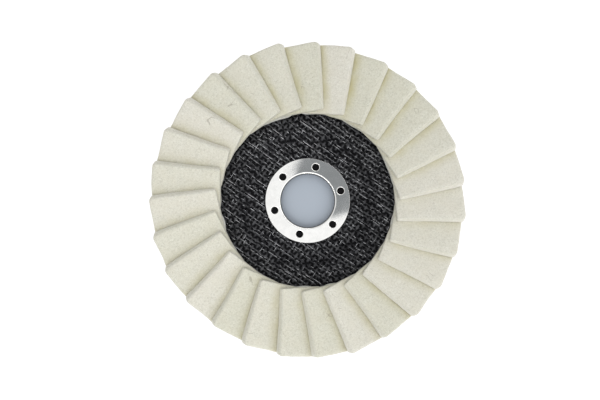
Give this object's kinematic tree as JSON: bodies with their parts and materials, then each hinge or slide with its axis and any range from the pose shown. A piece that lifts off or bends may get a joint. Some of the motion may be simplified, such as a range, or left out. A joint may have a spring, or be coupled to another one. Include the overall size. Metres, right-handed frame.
{
  "type": "felt flap polishing wheel",
  "caption": "Disc of overlapping felt flaps on a depressed-centre glass-cloth plate with a metal-lined arbor bore, for polishing on an angle grinder.",
  "frame": {"origin": "centre of the bore in the plane of the rear mounting face, which is also the lowest plane of the part", "axes": "+Z along the bore from the grinder's side towards the working face of the felt; +X along the middle of the first flap"},
  "size_m": [0.127, 0.1272, 0.017],
  "materials": {
    "felt": "matte",
    "glass_cloth": "gloss",
    "laminate": "satin",
    "adhesive": "satin",
    "hub_metal": "satin",
    "washer_metal": "satin"
  },
  "bodies": {
    "root": {"hub_ring": "hub_metal", "rear_washer": "washer_metal", "rear_cloth": "glass_cloth", "core_ply_1": "laminate", "core_ply_2": "laminate", "front_cloth": "glass_cloth", "adhesive_bed": "adhesive", "flap_01": "felt", "flap_02": "felt", "flap_03": "felt", "flap_04": "felt", "flap_05": "felt", "flap_06": "felt", "flap_07": "felt", "flap_08": "felt", "flap_09": "felt", "flap_10": "felt", "flap_11": "felt", "flap_12": "felt", "flap_13": "felt", "flap_14": "felt", "flap_15": "felt", "flap_16": "felt", "flap_17": "felt", "flap_18": "felt", "flap_19": "felt", "flap_20": "felt", "flap_21": "felt", "flap_22": "felt", "flap_23": "felt", "flap_24": "felt", "flap_25": "felt", "flap_26": "felt", "flap_27": "felt"}
  },
  "joints": []
}
